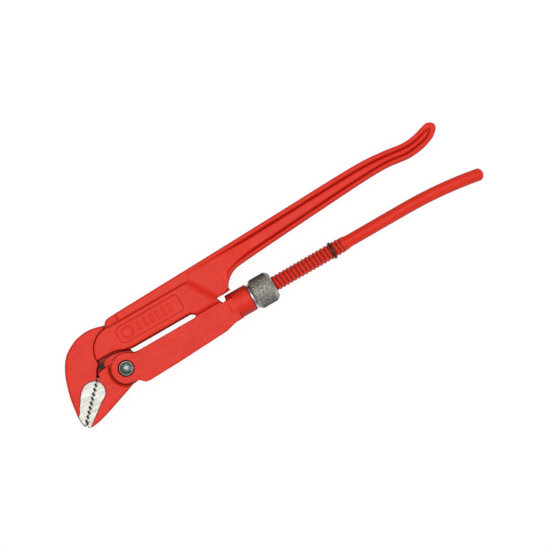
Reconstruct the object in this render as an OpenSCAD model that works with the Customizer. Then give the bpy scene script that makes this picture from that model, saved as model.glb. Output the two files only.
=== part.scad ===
// Corner pipe wrench, 45 degree jaws, 1 1/2 inch size.
// Every outline is drawn on the wrench's mid plane: u runs along the threaded rod from the
// jaw rivet to the handles, v runs across it, and z is the thickness. placed() then moves the
// whole tool so that it lies on its side on z = 0, centred in X and Y.

/* [Threaded rod] */
// Outside diameter of the round thread
thread_d = 14.2; // [14:0.1:14.4]
// Pitch of the round thread
thread_pitch = 3.8; // [3.6:0.1:4]
// Diameter of the round lower handle
bar_d = 11.4; // [10:0.1:12]
// Bend radius of the lower handle
bar_bend_r = 400; // [350:10:500]
// Turn of the lower handle at its end, degrees
bar_bend_a = 10.3; // [8:0.1:12]

/* [Adjusting nut] */
// Outside diameter of the knurled nut
nut_d = 28.4; // [27:0.1:29]
// Length of the knurled nut
nut_l = 20.8; // [18:0.1:21.6]
// Diameter of the thrust washer
washer_d = 23.6; // [22:0.1:24.4]
// Radius of the washer's ball face
seat_r = 20; // [18:0.5:24]

/* [Housing] */
// Half thickness across the channel cheeks
cheek_half = 12.2; // [11.8:0.1:13]
// Half thickness across the fork and its sleeve
fork_half = 11.9; // [11.6:0.1:12.4]
// Half width of the slot in the fork that the rod and the tang lie in
slot_half = 7.5; // [7.4:0.05:7.7]
// Height of the channel roof above the rod axis
roof_v = 41.5; // [41.4:0.1:42]
// Radius of the bore through the sleeve
sleeve_bore_r = 8.8; // [8.6:0.1:9]

/* [Jaws] */
// Half thickness of both jaw heads
jaw_half = 9.5; // [9:0.1:10.5]
// Half thickness of the hook's shank
shank_half = 6.6; // [6:0.1:6.8]
// Half thickness of the lower jaw's tang
tang_half = 7.2; // [6.8:0.05:7.2]
// Angle of the tooth line to the rod
mouth_a = 46; // [45.5:0.1:46.5]
// Number of teeth on each jaw
tooth_count = 11; // [10:1:11]
// Distance from tooth to tooth along the tooth line
tooth_pitch = 4.15; // [4:0.05:4.2]
// Radius of the lower jaw's tang disc
tang_r = 15.1; // [14.9:0.1:15.2]
// Radius of the rivet's shank
rivet_r = 4.9; // [4:0.1:5.2]

/* [Long handle] */
// Half width of the flange at the housing
flange_half_front = 9.4; // [9:0.1:11]
// Half width of the flange at the end of the handle
flange_half_rear = 6.8; // [6.4:0.1:8]
// Half thickness of the handle's web
web_half = 2.7; // [2.4:0.1:3.6]

/* [Hidden] */
$fn = 64;

// Where the origin lies in u and v, and how high the mid plane lies above the surface
mid_u = 151;
mid_v = 13.4;
rest_z = nut_d / 2;

// Running clearances
slide_gap = 0.3;
head_gap = 0.7;
channel_half = shank_half + slide_gap;

// Jaw rivet
rivet_c = [0, 0.9];
boss_r = 13.8;
rivet_head_r = 6.2;
rivet_head_h = 2.0;
counterbore_r = 7.3;
counterbore_depth = 1.6;
recess_r = 14.6;
recess_bevel = 2.2;

// Round front end of the cheeks
cheek_c = [2.2, 19.5];
cheek_r = 21.3;

// Shank of the hook, sliding in the channel
shank_top = 36;
shank_bottom = 20.3;
// The ramp, the channel's rear wall and the tail of the shank all fall this far per millimetre of u
ramp_fall = 1.8;
tail_right_u = 96;
rear_wall_u = 99.2;
tail_level = 14;
tail_bottom = -7;

// Nut seat and thrust washer: the ball centre is where the housing rocks
seat_rim_u = 127.4;
seat_c_u = seat_rim_u + sqrt(pow(seat_r, 2) - pow(washer_d / 2, 2));
washer_back_u = 129.4;
nut_u = 129.6;
nut_front_r = 11.9;
nut_front_l = 3;
nut_rear_r = 10.4;
nut_rear_l = 4;
bore_r = thread_d / 2 + slide_gap;
sleeve_front_u = 107.4;
sleeve_r = 12.4;

// Thread and lower handle
rod_start_u = 100;
thread_start_u = 104;
thread_end_u = 221;
thread_depth = 0.95;
bar_start_u = 286;
let_in = 1;
bend_tube_r = bar_d / 2 - 0.04;
dome_base_r = bar_d / 2 - 0.08;
stop_ring_u = 208.8;
stop_ring_w = 2.4;
stop_ring_r = 8;

// Curve through pts, n steps from each point to the next (Catmull-Rom)
function spline_at(p, q, r, s, t) =
    q + 0.5 * t * (r - p + t * (2 * p - 5 * q + 4 * r - s + t * (3 * (q - r) + s - p)));
function curve(pts, n = 4) = let (m = len(pts) - 1) concat(
    [for (i = [0:m - 1], k = [0:n - 1])
        spline_at(pts[max(i - 1, 0)], pts[i], pts[i + 1], pts[min(i + 2, m)], k / n)],
    [pts[m]]);
function arc(c, r, a0, a1, n = 12) =
    [for (i = [0:n]) let (a = a0 + (a1 - a0) * i / n) c + r * [cos(a), sin(a)]];

// Stairs of the teeth: 90 degree steps climbing at mouth_a from the tip, along u and v
tooth_run = tooth_pitch * cos(mouth_a);
tooth_rise = tooth_pitch * sin(mouth_a);
function stairs(start) = [for (i = [0:tooth_count - 1], k = [0, 1])
    start + [i * tooth_run, (i + k) * tooth_rise]];
hook_tip = [-54.8, -24.1];
// The lower jaw's teeth mesh with the hook's, a little to the right and below
mesh_gap = [1.6, -0.3];

// Right side of the tail, and the channel's rear wall, at a height v
function tail_right(v) = tail_right_u + (tail_level - v) / ramp_fall;
function rear_wall(v) = rear_wall_u + (tail_level - v) / ramp_fall;

module placed() translate([-mid_u, -mid_v, rest_z]) children();
module plate(pts, half) linear_extrude(height = 2 * half, center = true) polygon(pts);
// A round piece along the rod axis, from profile points of radius and u
module turned(profile) rotate([0, 90, 0]) rotate_extrude() polygon(profile);
module rod(r, u0, u1) translate([u0, 0, 0]) rotate([0, 90, 0]) cylinder(r = r, h = u1 - u0);
module at_rivet() translate([rivet_c.x, rivet_c.y, 0]) children();

// Upper jaw: crown, toothed face and the round cut that clears the cheeks
crown = [[0.8, 43.8], [-4, 45.2], [-9, 46.3], [-16, 46.8], [-26.6, 45], [-37.3, 39.6],
         [-44.4, 32.8], [-50, 23.1], [-53.9, 12.4], [-56.6, 1.8], [-58.3, -8.9],
         [-59.1, -16], [-59.2, -21], [-58.6, -24.6], [-57.2, -26.2]];
throat = [[-25.2, 9.4], [-24, 12], [-21.3, 15], [-17.8, 17.8], [-14.5, 19.2]];
// Groove in the throat that the tang's web runs in
groove = [[-27, 9.6], [-25.4, 13.1], [-22.6, 16.1], [-21.2, 17.4], [-21.2, 20], [-15, 20],
          [-15, 12], [-22, 8.4]];
groove_half = 3.6;
// Shank and tail, down to the rod
shank = concat([[-22, shank_bottom], [-16, shank_top], [tail_right(shank_top), shank_top],
    [rod_start_u, tail_level - ramp_fall * (rod_start_u - tail_right_u)],
    [rod_start_u, tail_bottom], [86, tail_bottom]],
    curve([[78.5, 8], [76.2, 13], [73.4, 17.4], [68, shank_bottom]]));

module hook_jaw() color("#e0453a") placed() {
    difference() {
        plate(concat(curve(crown), stairs(hook_tip), throat, [[cheek_c.x, 19.5], [0.8, 30]]),
              jaw_half);
        translate([cheek_c.x, cheek_c.y, -jaw_half - 1])
            cylinder(r = cheek_r + head_gap, h = 2 * jaw_half + 2, $fn = 96);
        plate(groove, groove_half);
    }
    plate(shank, shank_half);
}

// Round thread as a row of ridges, then the plain bar with its gentle bend and ball end.
// Its flat front face butts on the tail of the shank.
ridges = floor((thread_end_u - thread_start_u) / thread_pitch);
thread_profile = concat([[0, rod_start_u], [thread_d / 2 - thread_depth, rod_start_u]],
    [for (i = [0:ridges - 1], k = [0:5])
        [thread_d / 2 - thread_depth * (1 + cos(60 * k)) / 2,
         thread_start_u + thread_pitch * (i + k / 6)]],
    [[bar_d / 2, thread_start_u + thread_pitch * ridges], [bar_d / 2, bar_start_u],
     [0, bar_start_u]]);

// Rounded end of the bar
bar_dome = concat([[0, -let_in], [dome_base_r, -let_in]], [for (i = [0:7])
    [dome_base_r * cos(90 * i / 8), 0.8 * dome_base_r * sin(90 * i / 8)]],
    [[0, 0.8 * dome_base_r]]);

// Each stretch of the bar is a hair thinner than the one before and is let into it
module threaded_handle() color("#d93f35") placed() {
    turned(thread_profile);
    translate([bar_start_u - let_in, -bar_bend_r, 0]) {
        rotate([0, 0, 90 - bar_bend_a]) rotate_extrude(angle = bar_bend_a, $fn = 128)
            translate([bar_bend_r, 0]) circle(r = bend_tube_r, $fn = 48);
        translate([bar_bend_r * sin(bar_bend_a), bar_bend_r * cos(bar_bend_a), 0])
            rotate([0, 0, -bar_bend_a]) turned(bar_dome);
    }
}

// Ring pressed on the rod that ends the nut's travel
module stop_ring() color("#4a403a") placed()
    difference() {
        rod(stop_ring_r, stop_ring_u, stop_ring_u + stop_ring_w);
        rod(thread_d / 2, stop_ring_u - 1, stop_ring_u + stop_ring_w + 1);
    }

// Washer between the nut and the sleeve, its ball face to the sleeve
module thrust_washer() color("#b9bcb8") placed()
    difference() {
        intersection() {
            rod(washer_d / 2, seat_rim_u - 6, washer_back_u);
            translate([seat_c_u, 0, 0]) sphere(r = seat_r, $fn = 96);
        }
        rod(bore_r, seat_rim_u - 7, washer_back_u + 1);
    }

module adjusting_nut() color("#8a8d8a") placed()
    turned([[bore_r, nut_u], [nut_front_r, nut_u], [nut_d / 2, nut_u + nut_front_l],
            [nut_d / 2, nut_u + nut_l - nut_rear_l], [nut_rear_r, nut_u + nut_l],
            [bore_r, nut_u + nut_l]]);

// Long handle and housing, as one forging
handle_top = [[20, 48.1], [88.8, 50.1], [177.6, 52.9], [248.6, 55.3], [275, 55.3], [293, 53.7],
              [311, 51.4], [322, 52.2], [333, 55.2], [338.4, 56.3], [342.9, 54.4],
              [344.6, 50.8], [343.2, 47.2]];
handle_bottom = [[337.4, 42.4], [328.6, 39], [319.7, 37.3], [310.8, 36.8], [302, 37.7],
                 [289, 39.2], [266, 38.9], [222, 36.2], [177.6, 33.2], [151, 31.3],
                 [135, 30], [127.9, 29], [122.5, 26.8], [117.2, 22.7], [113.4, 17.6],
                 [110.4, 15.4], [107, 15.1]];
foot_v = 10.65;
foot_left_u = 76.4;
foot_right_u = 101.4;
crease_v = 40.1;
cheek_bottom = 13.3;
front_bottom = [[14, cheek_bottom], [9.5, 14.4], [5.3, 15.9], [1.2, 18], [-4.4, 19.4], [-11.5, 19.4]];
// Outline of the whole beam: flange, web and handle
beam = concat([[1.9, cheek_bottom + 7], [1.9, 43.4], [2.6, 44.8], [4.8, 46.9], [8.9, 47.7]],
              curve(handle_top), curve(handle_bottom), [[99, 15.1], [60, cheek_bottom + 7]]);
// Outline of the thick channel block, from the round front to the ramp
block = concat(arc(cheek_c, cheek_r, 180, 90), [[4.4, crease_v], [82, crease_v],
    [95.6, 15.1], [98.6, 15.1], [foot_right_u, foot_v], [foot_left_u, foot_v],
    [72.8, cheek_bottom]], curve(front_bottom));
// Lower edge of the upper flange and upper edge of the lower flange
recess_upper = [[126, 47.6], [177.6, 49], [250, 51.1], [275, 51.1], [293, 49.7], [311, 47.7],
                [322, 48.2], [333, 50.8], [338, 51]];
recess_lower = [[338, 48.3], [330, 43.7], [311, 40.8], [289, 43], [250, 41.7], [177.6, 36.7],
                [144, 34.3], [132, 33.6]];
web_recess = concat(curve(recess_upper), curve(recess_lower), [[124, 31.5]]);
// Shallower stretch of it behind the ramp
root_recess = [[88, 46.2], [126, 47.6], [132, 33.8], [120, 31.5], [109, 11], [101, 11]];
root_half = 6.4;
panel_recess = [[12, 20.5], [69, 20.5], [71, 22.5], [71, 34], [69, 36], [12, 36], [8, 33.5],
                [8, 22.5]];
panel_depth = 0.8;
// Half width of the beam from front to rear, seen from above
beam_plan = [[0, flange_half_front], [96, flange_half_front], [150, flange_half_rear + 1],
             [350, flange_half_rear]];

module both_faces(z) for (s = [0, 1]) mirror([0, 0, s]) translate([0, 0, z]) children();

module long_handle() color("#e4423a") placed()
    difference() {
        union() {
            intersection() {
                plate(beam, cheek_half);
                rotate([90, 0, 0]) linear_extrude(height = 160, center = true)
                    polygon(concat(beam_plan, [for (i = [3:-1:0]) [beam_plan[i].x, -beam_plan[i].y]]));
            }
            plate(block, cheek_half);
        }
        // Channel for the shank, closed by the roof and the sloping rear wall
        plate([[-30, 0], [-30, roof_v], [rear_wall(roof_v), roof_v], [rear_wall(15.1), 15.1],
               [rear_wall(15.1) + 8, 0]], channel_half);
        // Its lower part is as wide as the slot in the fork, for the rod
        plate([[-30, 0], [-30, 13], [110, 13], [110, 0]], slot_half);
        both_faces(web_half) linear_extrude(height = 20) polygon(web_recess);
        both_faces(root_half) linear_extrude(height = 20)
            difference() {
                polygon(root_recess);
                polygon(block);
            }
        both_faces(cheek_half - panel_depth) linear_extrude(height = 5) polygon(panel_recess);
    }

// Fork arm that carries the lower jaw in front and the nut's sleeve behind
fork_bottom = [[4.4, -13.4], [7.1, -16], [9.4, -18.2], [13.5, -18.8]];
fork = concat([[-2, 14.6], [7.1, 13.1], [12.4, 10.4], [14, 9.3], [75, 9.3], [76.4, foot_v],
    [foot_right_u, foot_v], [102.1, 8.6], [sleeve_front_u, 8.6], [sleeve_front_u, -12.2],
    [104, -12.6], [94, -15.2], [44, -17.8]], [for (i = [3:-1:0]) fork_bottom[i]], [[0, 0]]);
floor_v = -9;

module jaw_fork() color("#e4423a") placed()
    difference() {
        union() {
            intersection() {
                plate(fork, fork_half);
                plate([[-1, 13.4], [4, 13.4], [14, 9.3], [108, 11], [108, -20], [0, -20], [-1, 0]],
                      fork_half);
            }
            at_rivet() cylinder(r = boss_r, h = 2 * fork_half, center = true);
            rod(sleeve_r, sleeve_front_u - 1, seat_rim_u - 0.3);
        }
        // Channel for the tang in front and for the rod behind it
        plate([[0, floor_v], [0, 30], [sleeve_front_u - 2, 30], [sleeve_front_u - 2, floor_v]],
              slot_half);
        at_rivet() cylinder(r = tang_r + 0.6, h = 2 * slot_half, center = true);
        rod(sleeve_bore_r, sleeve_front_u - 3, seat_rim_u + 1);
        translate([seat_c_u, 0, 0]) sphere(r = seat_r + slide_gap, $fn = 96);
        at_rivet() cylinder(r = rivet_r, h = 40, center = true);
        both_faces(fork_half - counterbore_depth) at_rivet() cylinder(r = counterbore_r, h = 5);
    }

// Rivet with a domed head in each counterbore
dome_r = (pow(rivet_head_r, 2) + pow(rivet_head_h, 2)) / (2 * rivet_head_h);
dome_a = asin(rivet_head_r / dome_r);
head_z = fork_half - counterbore_depth;
dome = [for (i = [0:6]) let (a = dome_a * (1 - i / 6))
    [dome_r * sin(a), head_z + rivet_head_h - dome_r * (1 - cos(a))]];

module jaw_rivet() color("#8f918e") placed() at_rivet() {
    cylinder(r = rivet_r, h = 2 * head_z, center = true);
    both_faces(0) rotate_extrude() polygon(concat([[0, head_z]], dome));
}

// Lower jaw: toothed head and the tang disc that swivels in the fork
jaw_tip = hook_tip + mesh_gap;
jaw_top = [[-24.2, 8.6], [-22.6, 9.9], [-19.5, 10.7], [-9.8, 11.1]];
jaw_bottom = [[-1.8, -14.1], [-5.3, -15.4], [-19.5, -20.3], [-33.7, -25.1], [-44, -28.1],
              [-50, -29.1], [-53.4, -29.1], [-55.4, -28.2], [-56.2, -26.9]];
// Shoulder of the tang below the cheeks, and the thinner web that closes the gap to the shank
shoulder = [[0, 0], [-16.6, 9], [-16.4, 11.5], [-15, 15.1], [-11.8, 17.3], [-4.4, 17.6],
            [1.8, 16.4], [7.1, 14.2], [10.7, 12.4]];
tang_web = [[0, 0], [-23.2, 8], [-24.4, 9.9], [-24.2, 12], [-21.6, 15.2], [-19.6, 16.9],
            [-19, 18.2], [-19, 19.5], [-4.4, 19.6], [1.2, 18.5], [5.3, 16.6], [10.9, 14.8],
            [11.2, 9]];
tang_web_half = 3;
jaw_outline = concat(stairs(jaw_tip), jaw_top, [[0, 11], [0, 0]], curve(jaw_bottom));

module lower_jaw() color("#de443a") placed()
    difference() {
        union() {
            difference() {
                plate(jaw_outline, jaw_half);
                both_faces(tang_half) at_rivet() cylinder(r = recess_r, h = 5);
                both_faces(jaw_half - recess_bevel) at_rivet()
                    cylinder(r1 = recess_r, r2 = recess_r + recess_bevel + 1, h = recess_bevel + 1);
            }
            at_rivet() cylinder(r = tang_r, h = 2 * tang_half, center = true);
            plate(shoulder, tang_half);
            plate(tang_web, tang_web_half);
        }
        at_rivet() cylinder(r = rivet_r + slide_gap, h = 40, center = true);
    }

hook_jaw();
threaded_handle();
stop_ring();
thrust_washer();
adjusting_nut();
long_handle();
jaw_fork();
jaw_rivet();
lower_jaw();
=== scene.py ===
import math

import bpy
import numpy as np
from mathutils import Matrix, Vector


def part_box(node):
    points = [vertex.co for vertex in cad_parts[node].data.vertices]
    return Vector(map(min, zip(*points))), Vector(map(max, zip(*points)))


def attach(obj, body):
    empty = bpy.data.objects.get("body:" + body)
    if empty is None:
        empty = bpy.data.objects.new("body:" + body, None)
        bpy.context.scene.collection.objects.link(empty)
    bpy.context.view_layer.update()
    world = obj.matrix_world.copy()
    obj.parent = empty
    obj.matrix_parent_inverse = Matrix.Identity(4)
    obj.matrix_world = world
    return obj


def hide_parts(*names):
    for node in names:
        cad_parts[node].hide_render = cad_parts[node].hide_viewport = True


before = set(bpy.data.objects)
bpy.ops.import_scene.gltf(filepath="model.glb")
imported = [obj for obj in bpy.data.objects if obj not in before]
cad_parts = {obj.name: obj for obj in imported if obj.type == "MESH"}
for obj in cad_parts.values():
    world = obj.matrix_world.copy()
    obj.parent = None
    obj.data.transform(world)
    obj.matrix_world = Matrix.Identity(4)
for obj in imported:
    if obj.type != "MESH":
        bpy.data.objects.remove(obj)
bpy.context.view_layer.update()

import openvdb
from mathutils import Vector

# ---------------------------------------------------------------- the wrench's own frame
# u runs along the rod from the jaw rivet, v across it in the plane of the tool, z through its
# thickness, all in millimetres. The rivet and the nut give the place of that frame in the row.
MM = 0.001


def middle(node):
    lo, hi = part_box(node)
    return (Vector(lo) + Vector(hi)) / 2


ORIGIN = Vector((middle("jaw_rivet").x, middle("adjusting_nut").y, middle("adjusting_nut").z))
DETAIL = 1.0


def along(node):
    """Where a node starts and ends along the rod, in u."""
    lo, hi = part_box(node)
    return (lo[0] - ORIGIN.x) / MM, (hi[0] - ORIGIN.x) / MM


# ---------------------------------------------------------------- driving sizes
CHEEK_HALF = 12.2
FORK_HALF = 11.9
JAW_HALF = 9.5
SHANK_HALF = 6.6
TANG_HALF = 7.2
CHANNEL_HALF = 6.9
SLOT_HALF = 7.5
ROOF_V = 41.5
RIVET = (0.0, 0.9)
CHEEK_C, CHEEK_R = (2.2, 19.5), 21.3
HEAD_GAP = 0.5              # between the hook and the round front of the housing
TANG_R, BOSS_R, RECESS_R = 15.1, 13.8, 14.6
COUNTERBORE_R, COUNTERBORE_DEPTH = 7.3, 1.6
MOUTH_A = math.radians(46)
TOOTH_PITCH, TOOTH_COUNT = 4.15, 11
HOOK_TIP = np.array((-54.8, -24.1))
MESH_GAP = np.array((1.6, -0.3))
RAMP_FALL = 1.8
THREAD_R, THREAD_DEPTH, THREAD_PITCH = 7.1, 0.95, 3.8
THREAD_END_U = 221.0
BAR_R, BEND_START_U, BEND_R, BEND_A = 5.65, 284.8, 400.0, math.radians(10.3)
BALL_END = 0.8              # length of the bar's rounded end over its radius
TONGUE_HALF, GROOVE_HALF = 3.0, 3.6
RIVET_R, RIVET_HOLE_R = 4.9, 5.2
SLEEVE_V, SLEEVE_R, SLEEVE_BORE_R = 0.5, 12.5, 8.8
NUT_BORE_R, RING_BORE_R = 7.4, 7.15
SEAT_R, SEAT_PLAY = 20.0, 0.3   # the ball seat between washer and sleeve
WASHER_R = 11.8
KNURL_DEPTH, KNURL_LEAD = 0.55, 2.6


# ---------------------------------------------------------------- outlines
def curve(points, steps=6):
    """Catmull-Rom curve through the points."""
    p = np.asarray(points, float)
    p = np.vstack([p[:1], p, p[-1:]])
    out = []
    for i in range(1, len(p) - 2):
        a, b, c, d = p[i - 1], p[i], p[i + 1], p[i + 2]
        for t in np.arange(steps) / steps:
            cubic = 2 * a - 5 * b + 4 * c - d + t * (3 * (b - c) + d - a)
            out.append(b + 0.5 * t * (c - a + t * cubic))
    return out + [p[-1]]


def arc(centre, radius, start, end, steps=24):
    turn = np.radians(np.linspace(start, end, steps + 1))
    return [np.array(centre) + radius * np.array((math.cos(a), math.sin(a))) for a in turn]


def stairs(start):
    """The teeth: square steps that climb along u and v."""
    run, rise = TOOTH_PITCH * math.cos(MOUTH_A), TOOTH_PITCH * math.sin(MOUTH_A)
    return [start + (i * run, (i + k) * rise) for i in range(TOOTH_COUNT) for k in (0, 1)]


CROWN = [(0.8, 43.8), (-4, 45.2), (-9, 46.3), (-16, 46.8), (-26.6, 45), (-37.3, 39.6),
         (-44.4, 32.8), (-50, 23.1), (-53.9, 12.4), (-56.6, 1.8), (-58.3, -8.9), (-59.1, -16),
         (-59.2, -21), (-58.6, -24.6), (-57.2, -26.2)]
THROAT = [(-25.2, 9.4), (-24, 12), (-21.3, 15), (-17.8, 17.8), (-14.5, 19.2)]
JAW_TOP = [(-24.2, 8.6), (-22.6, 9.9), (-19.5, 10.7), (-9.8, 11.1)]
JAW_BOTTOM = [(-1.8, -14.1), (-5.3, -15.4), (-19.5, -20.3), (-33.7, -25.1), (-44, -28.1), 
              (-50, -29.1), (-53.4, -29.1), (-55.4, -28.2), (-56.2, -26.9)]
SHOULDER = [(0, 0), (-16.6, 9), (-16.4, 11.5), (-15, 15.1), (-11.8, 17.3), (-4.4, 17.6),
            (1.8, 16.4), (7.1, 14.2), (10.7, 12.4)]
# The lower jaw's tongue (TANG_WEB) runs in a groove in the hook's throat
GROOVE = [(-27.8, 4.8), (-27.8, 9.6), (-25.4, 13.1), (-22.6, 16.1), (-21.2, 17.4), (-21.2, 20),
          (-15, 20), (-15, 12), (-22, 4.8)]
TANG_WEB = [(0, 0), (-23.2, 5), (-26.4, 5), (-26.4, 9), (-24.6, 10.2), (-24.2, 12), (-21.6, 15.2),
            (-19.6, 16.9), (-19, 18.2), (-19, 19.5), (-4.4, 19.6), (1.2, 18.5), (5.3, 16.6),
            (10.9, 14.8), (11.2, 9)]
# Where the sides of both jaws are ground bare
GROUND = [(-61.5, -20), (-55.9, -13.3), (-53.3, -8.9), (-50.6, -5.3), (-48, -1.3), (-45.3, 1.8),
          (-42.6, 4.4), (-39.1, 6), (-35.5, 6.4), (-32, 5.8), (-29.3, 4.6), (-27.3, 2.6),
          (-25.9, 0.4), (-25.2, -2.4), (-25.4, -5.3), (-26.6, -8.4), (-28.9, -11.1), (-32, -13.1),
          (-35.5, -15.3), (-40.8, -19.5), (-46.2, -23.5), (-51.5, -27.5), (-55, -31)]
HANDLE_TOP = [(20, 48.1), (88.8, 50.1), (177.6, 52.9), (248.6, 55.3), (275, 55.3), (293, 53.7),
              (311, 51.4), (322, 52.2), (333, 55.2), (338.4, 56.3), (342.9, 54.4), (344.6, 50.8),
              (343.2, 47.2)]
HANDLE_BOTTOM = [(337.4, 42.4), (328.6, 39), (319.7, 37.3), (310.8, 36.8), (302, 37.7), (289, 39.2),
                 (266, 38.9), (222, 36.2), (177.6, 33.2), (151, 31.3), (135, 30), (127.9, 29),
                 (122.5, 26.8), (117.2, 22.7), (113.4, 17.6), (110.4, 15.4), (107, 15.1)]
RECESS_TOP = [(88, 46.2), (116, 47.2), (177.6, 49), (250, 51.2), (275, 51.2), (293, 49.8),
              (311, 47.8), (322, 48.3), (333, 50.9), (338, 51.2), (339.5, 50.2)]
RECESS_BOTTOM = [(338, 48.3), (330, 43.6), (311, 40.7), (289, 43), (250, 41.6), (177.6, 36.6),
                 (144, 34.2), (130, 32.5)]
PANEL = [(12, 20.5), (69, 20.5), (71, 22.5), (71, 34), (69, 36), (12, 36), (8, 33.5), (8, 22.5)]
FRONT_BOTTOM = [(14, 13.3), (9.5, 14.4), (5.3, 15.9), (1.2, 18), (-4.4, 19.4), (-11.5, 19.4)]
FORK_TOP = [(0, 14.7), (7.1, 12.7), (12.4, 9.8), (17, 9.3), (75, 9.3), (76.4, 10.65),
            (101.4, 10.65), (102.1, 8.6), (112, 8.6)]
FORK_BOTTOM = [(112, -11.9), (104, -12.6), (94, -15.2), (44, -17.8), (13.5, -18.8), (9.4, -18.2),
               (7.1, -16), (4.4, -13.4), (0, -12.9)]


# ---------------------------------------------------------------- distance fields
# A field takes u, v and z arrays and gives the distance to its surface, negative inside.
def inside(points, u, v):
    """Distance to a closed outline."""
    p = np.asarray(points, float)
    near = np.full(np.broadcast(u, v).shape, 1e9)
    within = np.zeros(near.shape, bool)
    for a, b in zip(p, np.roll(p, -1, 0)):
        e = b - a
        if not e.any():
            continue
        x, y = u - a[0], v - a[1]
        t = np.clip((x * e[0] + y * e[1]) / (e @ e), 0, 1)
        near = np.minimum(near, (x - e[0] * t) ** 2 + (y - e[1] * t) ** 2)
        left = (x * e[1] - y * e[0]) * (1 if e[1] > 0 else -1) < 0
        within ^= ((a[1] <= v) != (b[1] <= v)) & left
    return np.where(within, -1, 1) * np.sqrt(near)


def both(a, b, r=0.0):
    """What a and b share, with its edge rounded to r."""
    if not r:
        return np.maximum(a, b)
    return np.minimum(-r, np.maximum(a, b)) + np.hypot(np.maximum(r + a, 0), np.maximum(r + b, 0))


def joined(a, b, r=0.0):
    """a and b together, with a fillet of r between them."""
    return -both(-a, -b, r)


def without(a, b, r=0.0):
    return both(a, -b, r)


def disc(centre, radius, u, v):
    return np.hypot(u - centre[0], v - centre[1]) - radius


def slab(lo, hi, x):
    return np.maximum(lo - x, x - hi)


def smooth_noise(u, v, z, scale, seed):
    """A gentle unevenness between -1 and 1, as forged faces have."""
    rng = np.random.default_rng(seed)
    total = 0
    for _ in range(5):
        k = rng.normal(size=3)
        k *= 2 * math.pi / scale / np.linalg.norm(k) * rng.uniform(0.6, 1.5)
        total = total + np.sin(k[0] * u + k[1] * v + k[2] * z + rng.uniform(0, 6.28))
    return total / 5


def forged(field, u, v, z, depth=0.05, seed=1):
    return field + depth * smooth_noise(u, v, z, 11, seed)


# ---------------------------------------------------------------- meshes
def trilinear(grid, p):
    """Values of a grid at points p in index units."""
    top = np.array(grid.shape) - 2
    base = np.clip(np.floor(p).astype(int), 0, top)
    f = p - base
    out = 0
    for i in (0, 1):
        for j in (0, 1):
            for k in (0, 1):
                w = np.abs(1 - i - f[:, 0]) * np.abs(1 - j - f[:, 1]) * np.abs(1 - k - f[:, 2])
                out = out + w * grid[base[:, 0] + i, base[:, 1] + j, base[:, 2] + k]
    return out


def new_object(name, mesh):
    obj = bpy.data.objects.new(name, mesh)
    bpy.context.scene.collection.objects.link(obj)
    return obj


def to_row(points):
    return np.asarray(points) * MM + np.array(ORIGIN)


def attribute(obj, name, values):
    layer = obj.data.attributes.new(name, "FLOAT", "POINT")
    layer.data.foreach_set("value", np.asarray(values, dtype=np.float32))


def carve(name, field, lo, hi, voxel, faces=40000):
    """A mesh of the surface of a field, thinned to about that many triangles, with true normals."""
    voxel *= DETAIL
    lo, hi = np.array(lo) - 2.5 * voxel, np.array(hi) + 2.5 * voxel
    axes = [np.arange(a, b + voxel, voxel) for a, b in zip(lo, hi)]
    grid = field(axes[0][:, None, None], axes[1][None, :, None], axes[2][None, None, :])
    grid = np.ascontiguousarray(grid, dtype=np.float32)
    vdb = openvdb.FloatGrid(4 * voxel)
    vdb.copyFromArray(np.clip(grid, -4 * voxel, 4 * voxel))
    points, _, quads = vdb.convertToPolygons(isovalue=0.0, adaptivity=0.0)
    mesh = bpy.data.meshes.new(name)
    mesh.from_pydata((points * voxel + lo).tolist(), [], quads.tolist())
    obj = new_object(name, mesh)
    thin = obj.modifiers.new("thin", "DECIMATE")
    thin.ratio = min(1.0, faces / (2 * len(quads)))
    depsgraph = bpy.context.evaluated_depsgraph_get()
    made = bpy.data.meshes.new_from_object(obj.evaluated_get(depsgraph))
    bpy.data.objects.remove(obj)
    made.name = name
    slopes = np.gradient(grid, voxel)
    co = np.empty(len(made.vertices) * 3)
    made.vertices.foreach_get("co", co)
    co = co.reshape(-1, 3)
    for _ in range(3):
        index = (co - lo) / voxel
        normal = np.stack([trilinear(s, index) for s in slopes], 1)
        length = np.maximum(np.linalg.norm(normal, axis=1, keepdims=True), 0.2)
        step = trilinear(grid, index)[:, None] * normal / length ** 2
        co -= np.clip(step, -0.5 * voxel, 0.5 * voxel)
    index = (co - lo) / voxel
    normal = np.stack([trilinear(s, index) for s in slopes], 1)
    normal /= np.maximum(np.linalg.norm(normal, axis=1, keepdims=True), 1e-6)
    made.vertices.foreach_set("co", to_row(co).ravel())
    made.update()
    # Painted shade: one where the surface faces sideways, so walls and rounded edges are painted
    # darker
    shade = np.clip((0.9 - np.abs(normal[:, 2])) / 0.6, 0, 1)
    made.shade_smooth()
    made.normals_split_custom_set_from_vertices(normal.tolist())
    obj = new_object(name, made)
    attribute(obj, "shade", shade)
    return obj, co


def lathe(name, rings, closed=False):
    """A round mesh from a grid of rings, rings[i][j] a point in u, v, z."""
    rings = np.asarray(rings)
    n, m = rings.shape[:2]
    quads = [(i * m + j, i * m + (j + 1) % m, (i + 1) * m + (j + 1) % m, (i + 1) * m + j)
             for i in range(n - 1) for j in range(m)]
    if closed:
        last = (n - 1) * m
        quads += [(last + j, last + (j + 1) % m, (j + 1) % m, j) for j in range(m)]
    else:
        quads += [tuple(range(m))[::-1], tuple((n - 1) * m + j for j in range(m))]
    mesh = bpy.data.meshes.new(name)
    mesh.from_pydata(to_row(rings.reshape(-1, 3)).tolist(), [], quads)
    mesh.update()
    mesh.shade_smooth()
    return new_object(name, mesh)


# ---------------------------------------------------------------- materials
def material(name):
    mat = bpy.data.materials.new(name)
    mat.use_nodes = True
    tree = mat.node_tree
    return mat, tree, tree.nodes["Principled BSDF"]


def node(tree, kind, **values):
    made = tree.nodes.new(kind)
    for key, value in values.items():
        if hasattr(made, key):
            setattr(made, key, value)
        else:
            made.inputs[key.replace("_", " ")].default_value = value
    return made


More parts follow.
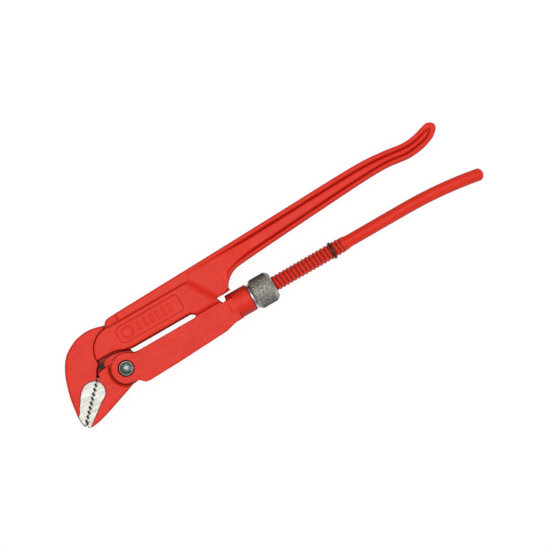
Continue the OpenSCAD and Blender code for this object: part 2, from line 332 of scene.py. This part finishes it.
def noise(tree, scale, detail=3.0, stretch=(1, 1, 1)):
    """A noise texture in object space; scale is in features per metre."""
    place = node(tree, "ShaderNodeTexCoord")
    mapped = node(tree, "ShaderNodeMapping")
    mapped.inputs["Scale"].default_value = stretch
    tex = node(tree, "ShaderNodeTexNoise")
    tex.inputs["Scale"].default_value = scale
    tex.inputs["Detail"].default_value = detail
    tree.links.new(place.outputs["Object"], mapped.inputs["Vector"])
    tree.links.new(mapped.outputs["Vector"], tex.inputs["Vector"])
    return tex.outputs["Fac"]


def ramp(tree, source, stops):
    made = node(tree, "ShaderNodeValToRGB")
    elements = made.color_ramp.elements
    while len(elements) < len(stops):
        elements.new(0.5)
    for element, (place, colour) in zip(elements, stops):
        element.position = place
        element.color = (*colour, 1) if len(colour) == 3 else colour
    tree.links.new(source, made.inputs["Fac"])
    return made.outputs["Color"]


def grey(value):
    return (value, value, value)


def linear(r, g, b):
    return tuple(((c / 255 + 0.055) / 1.055) ** 2.4 for c in (r, g, b))


def bump(tree, shader, heights):
    """Chains bumps of (height output, strength, distance in metres)."""
    last = None
    for height, strength, distance in heights:
        made = node(tree, "ShaderNodeBump")
        made.inputs["Strength"].default_value = strength
        made.inputs["Distance"].default_value = distance
        tree.links.new(height, made.inputs["Height"])
        if last:
            tree.links.new(last.outputs["Normal"], made.inputs["Normal"])
        last = made
    tree.links.new(last.outputs["Normal"], shader.inputs["Normal"])


RED = linear(240, 52, 33)
RED_DEEP = linear(234, 47, 29)
# Darker reds painted on sideways walls as painted shade
WALL_SHADE, WALL_SHADE_DEEP = linear(160, 18, 16), linear(146, 15, 14)
STEEL_DIM, STEEL_BRIGHT = linear(176, 175, 168), linear(202, 200, 191)
# Dark grey painted as shade on the nut's sideways faces
SIDE_SHADE = linear(60, 58, 56)
# Near blacks painted as shade in gaps, recesses and on shaded sides
SHADE_BLACK, SHADE_NEAR_BLACK = linear(12, 9, 9), linear(30, 24, 23)


def enamel(name):
    """Red enamel over a forged surface, painted near black as painted shade where its mask of
    recesses is positive.
    """
    mat, tree, shader = material(name)
    paint = paint_colour(tree)
    dark = ramp(tree, noise(tree, 500, 4), [(0.3, SHADE_BLACK), (0.7, SHADE_NEAR_BLACK)])
    # Painted shade: near black where the mask of recesses is positive
    tree.links.new(blend(tree, above_zero(tree, "recess_shade"), paint, dark), shader.inputs["Base Color"])
    rough = ramp(tree, noise(tree, 220), [(0.3, grey(0.38)), (0.7, grey(0.5))])
    tree.links.new(rough, shader.inputs["Roughness"])
    shader.inputs["Specular IOR Level"].default_value = 0.2
    bump(tree, shader, [(noise(tree, 420, 2), 0.25, 0.0002), (noise(tree, 1500, 2), 0.18, 0.0001)])
    return mat


def above_zero(tree, name):
    """A mask that is one where an attribute is above zero, with a narrow soft edge."""
    where = node(tree, "ShaderNodeAttribute", attribute_name=name)
    edge = node(tree, "ShaderNodeMath", operation="MULTIPLY_ADD")
    edge.inputs[1].default_value = 2
    edge.inputs[2].default_value = 0.5
    tree.links.new(where.outputs["Fac"], edge.inputs[0])
    return ramp(tree, edge.outputs["Value"], [(0.35, grey(0)), (0.65, grey(1))])


def paint_colour(tree):
    """Red enamel, with painted shade: a darker red on walls and rounded edges that face sideways,
    by the shade attribute.
    """
    face = ramp(tree, noise(tree, 60), [(0.3, RED_DEEP), (0.62, RED)])
    wall = ramp(tree, noise(tree, 90), [(0.3, WALL_SHADE_DEEP), (0.7, WALL_SHADE)])
    where = node(tree, "ShaderNodeAttribute", attribute_name="shade")
    return blend(tree, where.outputs["Fac"], face, wall)


def ground_distance(tree):
    """Millimetres from the edge of the ground zone, as 0.5 plus a third of it."""
    where = node(tree, "ShaderNodeAttribute", attribute_name="ground")
    edge = node(tree, "ShaderNodeMath", operation="MULTIPLY_ADD")
    edge.inputs[1].default_value = 0.33
    edge.inputs[2].default_value = 0.5
    tree.links.new(where.outputs["Fac"], edge.inputs[0])
    return edge.outputs["Value"]


def blend(tree, mask, below, above):
    mix = node(tree, "ShaderNodeMix", data_type="RGBA")
    tree.links.new(mask, mix.inputs["Factor"])
    tree.links.new(below, mix.inputs[6])
    tree.links.new(above, mix.inputs[7])
    return mix.outputs[2]


def jaw_enamel(name):
    """The same enamel, with bare steel on the ground sides and painted shade: near black between
    the teeth and a dark line along their edge.
    """
    mat, tree, shader = material(name)
    # The scale attribute marks painted shade, near black, not forging scale
    ground, scale = above_zero(tree, "ground"), above_zero(tree, "scale")
    paint = paint_colour(tree)
    bare = ramp(tree, noise(tree, 260, 4, (0.25, 1.5, 1)),
                [(0.3, STEEL_DIM), (0.7, STEEL_BRIGHT)])
    dark = ramp(tree, noise(tree, 500, 4), [(0.3, SHADE_BLACK), (0.7, SHADE_NEAR_BLACK)])
    # Painted shadow: a dark line along the edge of the ground sides, where their step would cast
    # shade
    border_shadow = ramp(tree, ground_distance(tree),
                  [(0.15, grey(0)), (0.38, grey(0.6)), (0.52, grey(0.7)), (0.56, grey(0))])
    lined = blend(tree, border_shadow, blend(tree, ground, paint, bare), dark)
    tint = blend(tree, scale, lined, dark)
    tree.links.new(tint, shader.inputs["Base Color"])
    metal = ramp(tree, noise(tree, 400), [(0.2, grey(0.6)), (0.8, grey(0.72))])
    none = ramp(tree, noise(tree, 400), [(0, grey(0)), (1, grey(0.01))])
    tree.links.new(blend(tree, ground, none, metal), shader.inputs["Metallic"])
    shader.inputs["Specular IOR Level"].default_value = 0.2
    rough = ramp(tree, noise(tree, 300, 4, (0.3, 1.5, 1)), [(0.3, grey(0.38)), (0.7, grey(0.5))])
    tree.links.new(rough, shader.inputs["Roughness"])
    bump(tree, shader, [(noise(tree, 420, 2), 0.2, 0.0002),
                        (noise(tree, 1800, 2, (0.2, 1.6, 1)), 0.2, 0.0001)])
    return mat


def steel(name, dark, light, rough, scale=700, stretch=(1, 1, 1), turned_bright=False):
    """Bare steel; with turned_bright, painted shade darkens its sides and its turned bevels are
    bright.
    """
    mat, tree, shader = material(name)
    colour = ramp(tree, noise(tree, scale, 4, stretch), [(0.3, dark), (0.7, light)])
    if turned_bright:
        # Painted shade on the sides that face sideways
        shaded_sides = ramp(tree, noise(tree, 500, 4), [(0.3, SHADE_NEAR_BLACK), (0.7, SIDE_SHADE)])
        side = node(tree, "ShaderNodeAttribute", attribute_name="shade")
        where = node(tree, "ShaderNodeAttribute", attribute_name="turned")
        lines = ramp(tree, noise(tree, 900, 3, (1, 0.08, 0.08)),
                     [(0.3, STEEL_DIM), (0.7, STEEL_BRIGHT)])
        colour = blend(tree, where.outputs["Fac"], colour, lines)
        colour = blend(tree, side.outputs["Fac"], colour, shaded_sides)
    tree.links.new(colour, shader.inputs["Base Color"])
    shader.inputs["Metallic"].default_value = 1.0
    wear = ramp(tree, noise(tree, scale / 2), [(0.3, grey(rough - 0.08)), (0.7, grey(rough + 0.1))])
    tree.links.new(wear, shader.inputs["Roughness"])
    bump(tree, shader, [(noise(tree, scale * 2, 3, stretch), 0.25, 0.0001)])
    return mat


LEG_PAINT = enamel("leg_paint")
JAW_PAINT = jaw_enamel("jaw_paint")
NUT_STEEL = steel("nut_steel", linear(124, 122, 117), linear(202, 198, 190), 0.42,
                  turned_bright=True)
WASHER_STEEL = steel("washer_steel", linear(176, 177, 174), linear(214, 215, 211), 0.3, 900,
                     (1, 0.1, 0.1))
RIVET_STEEL = steel("rivet_steel", linear(92, 95, 93), linear(150, 154, 150), 0.3)
RING_STEEL = steel("ring_steel", linear(58, 44, 40), linear(96, 74, 62), 0.45)


def recess_shade(obj, values=-1.0):
    """Positive where shade is painted dark: in the channel, the slot, round the rivet head and in
    the thread grooves.
    """
    attribute(obj, "recess_shade", np.broadcast_to(values, len(obj.data.vertices)))


def finish_piece(obj, mat, body, slot_name, *nodes):
    obj.data.materials.clear()
    obj.data.materials.append(mat)
    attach(obj, body)
    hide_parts(*nodes)


# ---------------------------------------------------------------- the jaws
def teeth_side(start, u, v, hook):
    """Half plane on the toothed side; its edge is the row of teeth."""
    steps = stairs(np.array(start))
    first, last = steps[0], steps[-1]
    run = np.array((math.cos(MOUTH_A), math.sin(MOUTH_A)))
    side = np.array((-run[1], run[0])) * (90 if hook else -90)
    closing = [last + 60 * run, last + 60 * run + side, first - 30 * run + side, first - 30 * run]
    return inside(steps + closing, u, v)


def ground_flat(u, v, z):
    """Where the sides of the jaws are ground flat beside the teeth."""
    return both(inside(curve(GROUND), u, v), JAW_HALF - 0.3 - np.abs(z))


def hook_field(u, v, z):
    crown = curve(CROWN) + [(-50, -33), (-12, 7), THROAT[-1], CHEEK_C, (0.8, 30)]
    head = both(inside(crown, u, v), np.abs(z) - JAW_HALF, 2.4)
    throat = inside([(-26, 8.7), *curve(THROAT), (0, 19.2), (0, -20), (-40, -20)], u, v)
    head = without(head, throat, 0.8)
    head = both(head, teeth_side(HOOK_TIP, u, v, True), 0.3)
    head = without(head, both(inside(GROOVE, u, v), np.abs(z) - GROOVE_HALF), 0.2)
    head = without(head, disc(CHEEK_C, CHEEK_R + HEAD_GAP, u, v), 0.4)
    head = without(head, ground_flat(u, v, z), 0.3)
    tail = curve([(78.5, 8), (76.2, 13), (73.4, 17.4), (68, 20.3)])
    right = [(96 + (14 - y) / RAMP_FALL, y) for y in (36, 6.8)]
    shank = [(-22, 20.3), (-16, 36), right[0], right[1], (100, 6.8), (100, -7), (86, -7), *tail]
    shank = both(inside(shank, u, v), np.abs(z) - SHANK_HALF, 0.8)
    return forged(joined(head, shank, 0.5), u, v, z, 0.04, 3)


def lower_jaw_field(u, v, z):
    outline = [(-60, -31), (-55, -22), (-27.5, 7.4), (-26, 9), *JAW_TOP[1:], (0, 11), (0, 0),
               *curve(JAW_BOTTOM)]
    head = both(inside(outline, u, v), np.abs(z) - JAW_HALF, 1.6)
    head = both(head, teeth_side(HOOK_TIP + MESH_GAP, u, v, False), 0.3)
    reach = np.hypot(u - RIVET[0], v - RIVET[1])
    bevel = both(reach - RECESS_R - (np.abs(z) - JAW_HALF + 2.2), TANG_HALF - np.abs(z))
    head = without(head, bevel, 0.4)
    head = without(head, ground_flat(u, v, z), 0.3)
    lobe = joined(reach - TANG_R, inside(SHOULDER, u, v), 0.5)
    tang = both(lobe, np.abs(z) - TANG_HALF, 0.6)
    web = both(inside(TANG_WEB, u, v), np.abs(z) - TONGUE_HALF, 0.5)
    whole = joined(joined(head, web, 0.5), tang, 0.6)
    return forged(without(whole, reach - RIVET_HOLE_R, 0.3), u, v, z, 0.04, 4)


def ground_mask(co):
    """Positive on the ground sides and on the teeth."""
    u, v, z = co.T
    return -inside(curve(GROUND), u, v)


def jaw_shade_mask(co, swivels):
    """Positive where shade is painted near black on the jaws: on the flanks of the teeth and,
    on the lower jaw, in the groove round the boss and at the middle of the tongue."""
    u, v, z = co.T
    start = HOOK_TIP + MESH_GAP if swivels else HOOK_TIP
    # Painted shade: the flanks of the teeth, in the gaps between the jaws
    beside = 0.7 - np.abs(teeth_side(start, u, v, not swivels))
    flanks = np.minimum(np.minimum(ground_mask(co), beside), JAW_HALF - 0.9 - np.abs(z))
    reach = np.hypot(u - RIVET[0], v - RIVET[1])
    # Painted shade: the groove round the boss
    groove = np.minimum(RECESS_R + 0.2 - reach, TANG_HALF + 1.2 - np.abs(z)) - 50 * (v > 9)
    web = np.minimum(4 - np.abs(z), v - 4.6) - 50 * (u > 12)
    # Painted shade: a near-black core in the throat, fading to dark red over the tongue that lies
    # deep in shade
    core = 0.03 * (4.5 - np.hypot((u + 18.6) * 0.8, v - 13))
    web = np.minimum(web, np.maximum(core, np.where(v < 8.6, 1, -0.01)))
    return np.maximum(np.maximum(flanks, groove), web) if swivels else flanks


hook, co = carve("hook_jaw_forging", hook_field, (-60, -30, -10), (101, 47, 10), 0.42, 60000)
attribute(hook, "ground", ground_mask(co))
attribute(hook, "scale", jaw_shade_mask(co, False))
finish_piece(hook, JAW_PAINT, "hook_leg", "jaw_enamel", "hook_jaw")

jaw, co = carve("lower_jaw_forging", lower_jaw_field, (-58, -30, -10), (17, 18, 10), 0.35, 40000)
attribute(jaw, "ground", ground_mask(co))
attribute(jaw, "scale", jaw_shade_mask(co, True))
finish_piece(jaw, JAW_PAINT, "swivel_jaw", "jaw_enamel", "lower_jaw")


# ---------------------------------------------------------------- the housing and long handle
def channel_side(u, v):
    """Distance to the outline of the shank's channel."""
    rear = [(99.2 + (14 - y) / RAMP_FALL, y) for y in (ROOF_V, 15.1)]
    return inside([(-30, 0), (-30, ROOF_V), rear[0], rear[1], (rear[1][0] + 8, 0)], u, v)


def long_handle_field(u, v, z):
    depth = np.abs(z)
    beam = [(1.9, 20.3), (1.9, 43.4), (2.6, 44.8), (4.8, 46.9), (8.9, 47.7), *curve(HANDLE_TOP),
            *curve(HANDLE_BOTTOM), (99, 15.1), (60, 20)]
    half = np.interp(u, (0, 14.6, 15.6, 96, 150, 345), (8.2, 8.2, 9.4, 9.4, 7.8, 6.8))
    beam = both(inside(beam, u, v), depth - half, 2.0)
    front = [(121, 30), (109, 8), (95, 8), (86, 40)]
    wall = inside(curve(RECESS_TOP) + curve(RECESS_BOTTOM) + front, u, v)
    floor = np.interp(u, (92, 126, 148, 325, 340), (9.2, 6.4, 2.9, 2.9, 4.6))
    recess = both(wall + 0.45 * (half - depth), floor - depth, 1.2)
    beam = without(beam, recess, 1.2)
    block = arc(CHEEK_C, CHEEK_R, 180, 90) + [(4.4, 40.1), (130, 40.1), (130, 10.65),
            (76.4, 10.65), (72.8, 13.3)] + curve(FRONT_BOTTOM)
    lower_edge = 0.32 * (depth - CHANNEL_HALF) * np.clip((20 - v) / 4, 0, 1)
    block = both(inside(block, u, v) + np.maximum(lower_edge, 0), depth - CHEEK_HALF, 1.3)
    ramp_normal = np.array((RAMP_FALL, 1)) / math.hypot(RAMP_FALL, 1)
    past = (u - 82.6) * ramp_normal[0] + (v - 40.1) * ramp_normal[1]
    block = both(block, (past + 1.3 * (depth - CHEEK_HALF)) / math.hypot(1, 1.3), 2.0)
    hole = [(98.8, 15.1), (101.4, 10.3), (104, 8), (140, 8), (140, 15.1)]
    block = without(block, inside(hole, u, v))
    foot = [(88, 20), (96, 15.1), (99, 15.1), (101.4, 10.65), (76.4, 10.65), (76.4, 20)]
    foot = inside(foot, u, v)
    block = joined(block, both(foot, depth - CHEEK_HALF + 1.0, 1.2), 0.5)
    body = joined(beam, block, 1.6)
    body = without(body, both(channel_side(u, v), depth - CHANNEL_HALF), 0.5)
    body = without(body, both(slab(-30, 110, u), both(v - 13, depth - SLOT_HALF)), 0.4)
    panel = both(inside(PANEL, u, v), CHEEK_HALF - 0.8 - depth, 0.3)
    body = without(body, panel, 0.4)
    badge = np.abs(disc((17.5, 28.3), 5.0, u, v)) - 0.5
    bars = both(slab(28, 65, u), both(slab(24.3, 32.3, v), np.abs((u - 28) % 6.2 - 1.2) - 1.2))
    body = joined(body, both(joined(badge, bars), slab(6.9, CHEEK_HALF - 0.35, depth)), 0.3)
    return forged(body, u, v, z, 0.05, 5)


handle, co = carve("long_handle_forging", long_handle_field, (-20, 9, -13), (346, 58, 13),
                   0.55, 90000)
u, v, z = co.T
# Painted shade: the inside of the shank's channel is painted near black
in_channel = np.minimum(0.6 - channel_side(u, v), CHANNEL_HALF + 0.8 - np.abs(z))
recess_shade(handle, np.minimum(in_channel, 98 - u))
finish_piece(handle, LEG_PAINT, "handle_housing", "leg_enamel", "long_handle")


def fork_field(u, v, z):
    depth = np.abs(z)
    reach = np.hypot(u - RIVET[0], v - RIVET[1])
    flat = joined(inside(FORK_TOP + FORK_BOTTOM, u, v), reach - BOSS_R, 1.5)
    arm = both(flat, depth - FORK_HALF, 1.2)
    ends = along("jaw_fork")
    around = np.hypot(v, z)
    sleeve = both(np.hypot(v - SLEEVE_V, z) - SLEEVE_R, slab(106.4, ends[1], u), 0.8)
    seat = np.hypot(u - ends[1] - 16.5, around) - SEAT_R - SEAT_PLAY
    body = joined(arm, sleeve, 1.5)
    slot = both(slab(-20, 105.4, u), both(-9 - v, depth - SLOT_HALF))
    slot = joined(slot, both(reach - TANG_R - 0.6, depth - SLOT_HALF))
    body = without(body, slot, 0.5)
    body = without(body, joined(both(around - SLEEVE_BORE_R, slab(104, 130, u)), seat), 0.4)
    body = without(body, both(reach - COUNTERBORE_R, FORK_HALF - COUNTERBORE_DEPTH - depth), 0.5)
    return forged(body, u, v, z, 0.05, 6)


fork, co = carve("jaw_fork_forging", fork_field, (-14, -20, -13), (130, 15, 13), 0.5, 60000)
u, v, z = co.T
reach = np.hypot(u - RIVET[0], v - RIVET[1])
# Painted shade: the counterbore round the rivet head and the inside of the slot are painted near
# black
around_head = np.minimum(COUNTERBORE_R + 0.25 - reach, FORK_HALF - 0.5 - np.abs(z))
in_slot = np.minimum(SLOT_HALF + 0.3 - np.abs(z), v + 9.6) - 50 * (u > 104)
recess_shade(fork, np.maximum(around_head, in_slot))
finish_piece(fork, LEG_PAINT, "handle_housing", "leg_enamel", "jaw_fork")

# ---------------------------------------------------------------- the rod and round handle
AROUND = 72
TURN = np.arange(AROUND) / AROUND * 2 * math.pi


def threaded_rod():
    """The round thread as a true helix, then the plain bar and its bend."""
    rings = []
    start = along("threaded_handle")[0]
    for u in np.arange(start, THREAD_END_U, THREAD_PITCH / 10):
        full = max(min(1, (u - start) / 5, (THREAD_END_U - u) / 4), 0)
        phase = u / THREAD_PITCH * 2 * math.pi - TURN
        r = THREAD_R - THREAD_DEPTH * (1 - np.cos(phase)) / 2 * full - 0.6 * (1 - full)
        rings.append(np.stack([np.full(AROUND, u), r * np.cos(TURN), r * np.sin(TURN)], 1))
    for u in np.linspace(THREAD_END_U, BEND_START_U, 12):
        r = BAR_R + max(0, 1 - (u - THREAD_END_U) / 3) * 0.9
        rings.append(np.stack([np.full(AROUND, u), r * np.cos(TURN), r * np.sin(TURN)], 1))
    for a in np.linspace(0, BEND_A, 25)[1:]:
        out = np.array((math.sin(a), math.cos(a)))
        centre = np.array((BEND_START_U, -BEND_R)) + BEND_R * out
        rings.append(np.stack([centre[0] + BAR_R * np.cos(TURN) * out[0],
                               centre[1] + BAR_R * np.cos(TURN) * out[1], BAR_R * np.sin(TURN)], 1))
    ahead = np.array((math.cos(BEND_A), -math.sin(BEND_A)))
    for a in np.radians(np.linspace(10, 85, 9)):
        spot = centre + BALL_END * BAR_R * math.sin(a) * ahead
        r = BAR_R * math.cos(a)
        rings.append(np.stack([spot[0] + r * np.cos(TURN) * out[0],
                               spot[1] + r * np.cos(TURN) * out[1], r * np.sin(TURN)], 1))
    return lathe("threaded_rod", rings)


rod = threaded_rod()
spots = np.empty(len(rod.data.vertices) * 3)
rod.data.vertices.foreach_get("co", spots)
u, v, z = ((spots.reshape(-1, 3) - np.array(ORIGIN)) / MM).T
# Painted shade: the thread grooves are painted dark red
in_groove = 0.4 * (THREAD_R - 0.72 * THREAD_DEPTH - np.hypot(v, z))
in_groove = np.where(u < THREAD_END_U, in_groove, -1)
in_groove = np.minimum(in_groove, 0.02)
recess_shade(rod, in_groove)
# Painted shade: the rod's sides that face sideways are painted darker red
attribute(rod, "shade", np.clip((0.75 - np.abs(z) / BAR_R) / 0.7, 0, 1))
finish_piece(rod, LEG_PAINT, "hook_leg", "leg_enamel", "threaded_handle")


def around_rod(profile, turn):
    """Rings round the rod; each radius is one number or one for each place in turn."""
    return [np.stack([np.full(len(turn), u), r * np.cos(turn), r * np.sin(turn)], 1)
            for r, u in profile]


def turned(name, profile, segments=96):
    """A closed ring turned from a profile of radius and u."""
    turn = np.arange(segments) / segments * 2 * math.pi
    return lathe(name, around_rod(profile, turn), closed=True)


def nut():
    """Knurled nut: two crossing sets of grooves stand diamonds up on the barrel."""
    start, end = along("adjusting_nut")
    radius = (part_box("adjusting_nut")[1][2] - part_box("adjusting_nut")[0][2]) / 2 / MM
    segments, rows, grooves = ((480, 110, 40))
    turn = np.arange(segments) / segments * 2 * math.pi
    rings = []
    for r, u in [(NUT_BORE_R, end - 0.2), (NUT_BORE_R, start + 0.6), (8, start),
                 (radius - 2.5, start)]:
        rings.append((np.full(segments, r), u))
    for u in np.linspace(start + 0.3, end - 0.3, rows):
        front, rear = max(0, 1 - (u - start) / 3.4), max(0, 1 - (end - u) / 4.4)
        inset = min(u - start, end - u - 1.2)
        barrel = radius - 2.3 * front ** 1.6 - 3.6 * rear ** 1.4
        waves = [np.abs(((turn * grooves / (2 * math.pi) + s * u / KNURL_LEAD) % 1) * 2 - 1)
                 for s in (1, -1)]
        depth = KNURL_DEPTH * min(1, max(0, (inset - 2.2) / 0.8))
        rings.append((barrel - depth * np.clip(1 - 1.6 * np.minimum(*waves), 0, 1), u))
    rings.append((np.full(segments, radius - 4), end))
    rings.append((np.full(segments, 8.0), end))
    made = lathe("knurled_nut", around_rod(rings, turn), closed=True)
    u = np.repeat([u for _, u in rings], segments)
    height = np.concatenate([np.abs(np.sin(turn))] * len(rings))
    # Painted shade: the nut's faces that turn sideways are painted dark
    attribute(made, "shade", np.clip(1.05 - 1.1 * height, 0, 0.75))
    attribute(made, "turned", 1 - np.clip((np.minimum(u - start, end - u - 1.2) - 2) / 0.6, 0, 1))
    return made


finish_piece(nut(), NUT_STEEL, "nut", "nut_steel", "adjusting_nut")


def plain_rings():
    """The stop ring, and the washer with its ball face towards the sleeve."""
    start, end = along("stop_ring")
    ring = turned("nut_stop_ring", [(RING_BORE_R, start), (7.7, start), (8, start + 0.3),
                                    (8, end - 0.3), (7.7, end), (RING_BORE_R, end)])
    finish_piece(ring, RING_STEEL, "hook_leg", "ring_steel", "stop_ring")
    start, end = along("thrust_washer")
    inner = math.sqrt(SEAT_R ** 2 - NUT_BORE_R ** 2)
    ball = [(r, start + inner - math.sqrt(SEAT_R ** 2 - r * r))
            for r in np.linspace(NUT_BORE_R, WASHER_R - 0.3, 7)]
    washer = turned("thrust_washer_ring",
                    ball + [(WASHER_R, ball[-1][1] + 0.3), (WASHER_R, end - 0.3),
                            (WASHER_R - 0.3, end), (NUT_BORE_R, end)])
    finish_piece(washer, WASHER_STEEL, "nut_seat", "washer_steel", "thrust_washer")


plain_rings()


def rivet():
    """Rivet with a domed head on each side."""
    (lo_x, lo_y, lo_z), (hi_x, hi_y, hi_z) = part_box("jaw_rivet")
    top = (hi_z - lo_z) / 2 / MM
    seat = FORK_HALF - COUNTERBORE_DEPTH
    radius = (hi_x - lo_x) / 2 / MM
    dome = (radius ** 2 + (top - seat) ** 2) / (2 * (top - seat))
    side = [(RIVET_R, 0.0), (RIVET_R, seat), (radius - 0.15, seat), (radius, seat + 0.25)]
    for a in np.linspace(0.97, 0.05, 9) * math.asin(radius / dome):
        side.append((dome * math.sin(a), top - dome * (1 - math.cos(a))))
    profile = [(r, -z) for r, z in side[:0:-1]] + side
    rings = [np.stack([RIVET[0] + r * np.cos(TURN), RIVET[1] + r * np.sin(TURN),
                       np.full(AROUND, z)], 1) for r, z in profile]
    return lathe("domed_rivet", rings)


finish_piece(rivet(), RIVET_STEEL, "handle_housing", "rivet_steel", "jaw_rivet")

# ---------------------------------------------------------------- floor, lights, camera
scene = bpy.context.scene
FLOOR_HALF, FLOOR_Z = 8.0, -0.0005
mesh = bpy.data.meshes.new("floor")
mesh.from_pydata([(x * FLOOR_HALF, y * FLOOR_HALF, FLOOR_Z)
                  for x, y in ((-1, -1), (1, -1), (1, 1), (-1, 1))], [], [(0, 1, 2, 3)])
floor = new_object("floor", mesh)
floor_mat, tree, shader = material("floor_white")
shader.inputs["Base Color"].default_value = (0.12, 0.12, 0.12, 1)
shader.inputs["Roughness"].default_value = 0.9
shader.inputs["Emission Color"].default_value = (1, 1, 1, 1)
shader.inputs["Emission Strength"].default_value = 0.9
floor.data.materials.append(floor_mat)

world = bpy.data.worlds.new("studio")
world.use_nodes = True
backdrop = world.node_tree.nodes["Background"]
backdrop.inputs["Color"].default_value = (1, 1, 1, 1)
backdrop.inputs["Strength"].default_value = 0.3
scene.world = world


def area_light(name, place, aim, size, power):
    data = bpy.data.lights.new(name, "AREA")
    data.shape, data.size, data.energy = "SQUARE", size, power
    lamp = new_object(name, data)
    lamp.location = place
    lamp.rotation_mode = "QUATERNION"
    lamp.rotation_quaternion = (Vector(aim) - Vector(place)).to_track_quat("-Z", "Y")


area_light("key", (-0.15, 0.25, 2.3), (0, 0, 0), 1.6, 30)
area_light("fill", (0.9, -0.8, 1.2), (0, 0, 0), 0.8, 3)

# The camera looks square down on the tool, which lies turned 30 degrees in the frame
VIEW_TURN = math.radians(-30)
FRAME_WIDTH = 0.4892
LENS, SENSOR = 120.0, 36.0
centre = middle("jaw_rivet") + Vector((0.1551, 0.0057, 0))
data = bpy.data.cameras.new("camera")
data.lens, data.sensor_width = LENS, SENSOR
data.clip_end = 50
camera = new_object("camera", data)
camera.location = centre + Vector((0, 0, FRAME_WIDTH * LENS / SENSOR))
camera.rotation_euler = (0, 0, VIEW_TURN)
scene.camera = camera
scene.view_settings.view_transform = "Standard"
